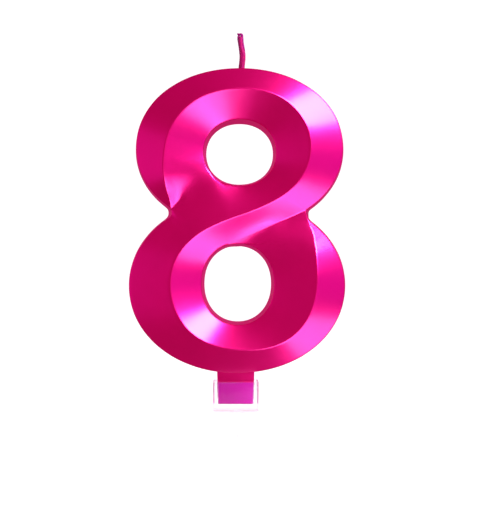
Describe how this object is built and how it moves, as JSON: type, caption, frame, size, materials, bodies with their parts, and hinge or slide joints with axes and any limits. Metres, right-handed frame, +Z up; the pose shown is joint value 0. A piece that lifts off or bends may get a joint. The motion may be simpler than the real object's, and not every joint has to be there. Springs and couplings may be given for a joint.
{
  "type": "number birthday candle",
  "caption": "Figure-eight candle with a faceted S-ridge front, a short wick, and a stub that stands in a clear cup with a push-in spike.",
  "frame": {"origin": "middle of the holder cup's underside, the face that rests on the cake", "axes": "+X to the reader's right, +Y into the depth (the faceted front looks along -Y), +Z up along the candle"},
  "size_m": [0.0571, 0.0122, 0.1183],
  "materials": {
    "lacquered_wax": "cast paraffin wax under a pink pearl metallic lacquer",
    "waxed_cotton": "braided cotton dipped in pink wax",
    "clear_polystyrene": "moulded, clear"
  },
  "bodies": {
    "holder": {"holder": "clear_polystyrene"},
    "candle": {"numeral": "lacquered_wax", "wick": "waxed_cotton"}
  },
  "joints": [
    {"name": "candle_lift", "type": "slide", "parent": "holder", "child": "candle", "axis": [0, 0, 1], "range_m": [0, 0.012]}
  ]
}
